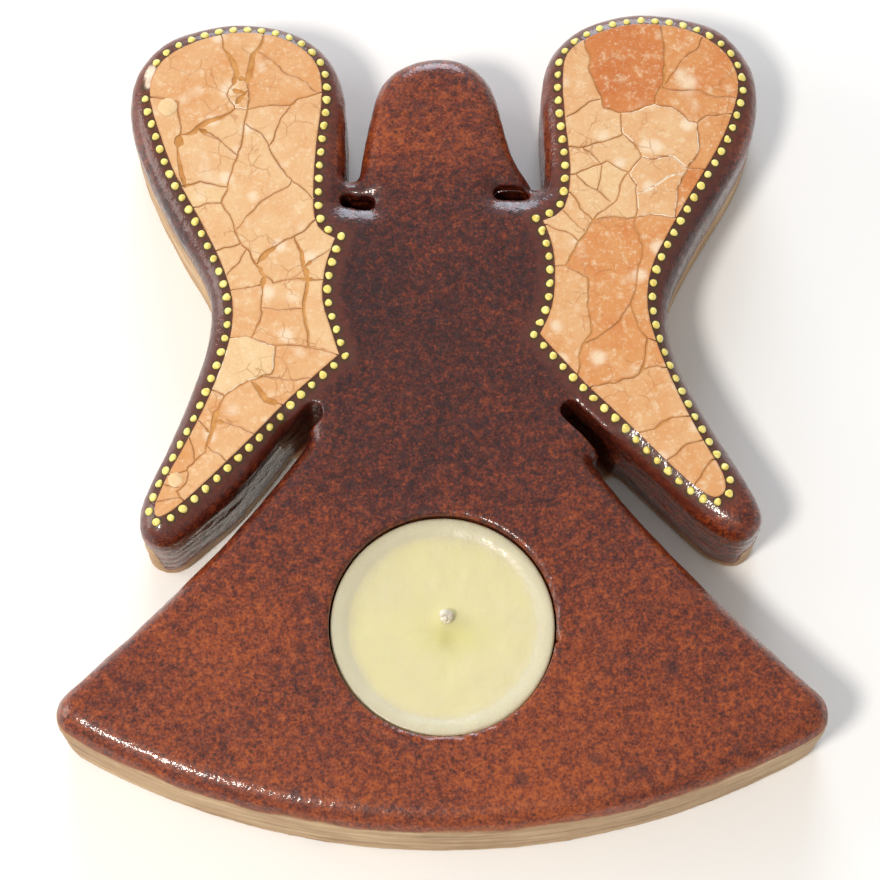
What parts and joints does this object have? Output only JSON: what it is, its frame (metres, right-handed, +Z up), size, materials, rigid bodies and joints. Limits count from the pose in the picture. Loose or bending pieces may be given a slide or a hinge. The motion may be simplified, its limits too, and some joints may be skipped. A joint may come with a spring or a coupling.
{
  "type": "candle holder",
  "caption": "Angel-shaped clay slab that lies flat, with shell-inlaid wings edged by raised paint dots, and a round candle that lifts out of its skirt.",
  "frame": {"origin": "on the surface that the slab lies on, under the middle of its bounding box", "axes": "+Z up through the slab's thickness, +Y from the skirt's hem to the head, +X to the wing on the right as seen from above with the head away from the viewer"},
  "size_m": [0.1298, 0.1508, 0.0206],
  "materials": {
    "clay": "fired clay, dyed mottled red-brown and varnished on top, fading to bare pale clay down the walls",
    "shell": "crackled pieces of eggshell, cream to orange, under a thin varnish",
    "dot_paint": "raised dots of yellow paint, satin",
    "wax": "cream wax, soft and slightly translucent",
    "wick": "braided cotton dipped in wax",
    "foot_metal": "tinned sheet"
  },
  "bodies": {
    "holder": {"clay_slab": "clay", "left_shell_crown_outer": "shell", "left_shell_crown_middle": "shell", "left_shell_crown_inner": "shell", "left_shell_star": "shell", "left_shell_rim_upper": "shell", "left_shell_rim_middle": "shell", "left_shell_rim_lower": "shell", "left_shell_field_outer": "shell", "left_shell_field_inner": "shell", "left_shell_waist_outer": "shell", "left_shell_waist_middle": "shell", "left_shell_shoulder": "shell", "left_shell_hip_inner": "shell", "left_shell_hip_middle": "shell", "left_shell_hip_outer": "shell", "left_shell_patch": "shell", "left_shell_elbow": "shell", "left_shell_tail_inner": "shell", "left_shell_tail_outer": "shell", "left_shell_tip": "shell", "right_shell_crown_inner": "shell", "right_shell_crown_outer": "shell", "right_shell_rim_upper": "shell", "right_shell_rim_lower": "shell", "right_shell_field_top": "shell", "right_shell_field_edge": "shell", "right_shell_field_outer": "shell", "right_shell_field_wedge": "shell", "right_shell_field_middle": "shell", "right_shell_field_lower": "shell", "right_shell_shoulder": "shell", "right_shell_shoulder_tip": "shell", "right_shell_waist_middle": "shell", "right_shell_waist_inner": "shell", "right_shell_waist_outer": "shell", "right_shell_elbow": "shell", "right_shell_tail_upper": "shell", "right_shell_tail_middle": "shell", "right_shell_tail_lower": "shell", "right_shell_tip": "shell", "left_wing_dots": "dot_paint", "right_wing_dots": "dot_paint"},
    "candle": {"candle_wax": "wax", "candle_wick": "wick", "wick_foot": "foot_metal"}
  },
  "joints": [
    {"name": "candle_lift", "type": "slide", "parent": "holder", "child": "candle", "axis": [0, 0, 1], "range_m": [0, 0.03]}
  ]
}
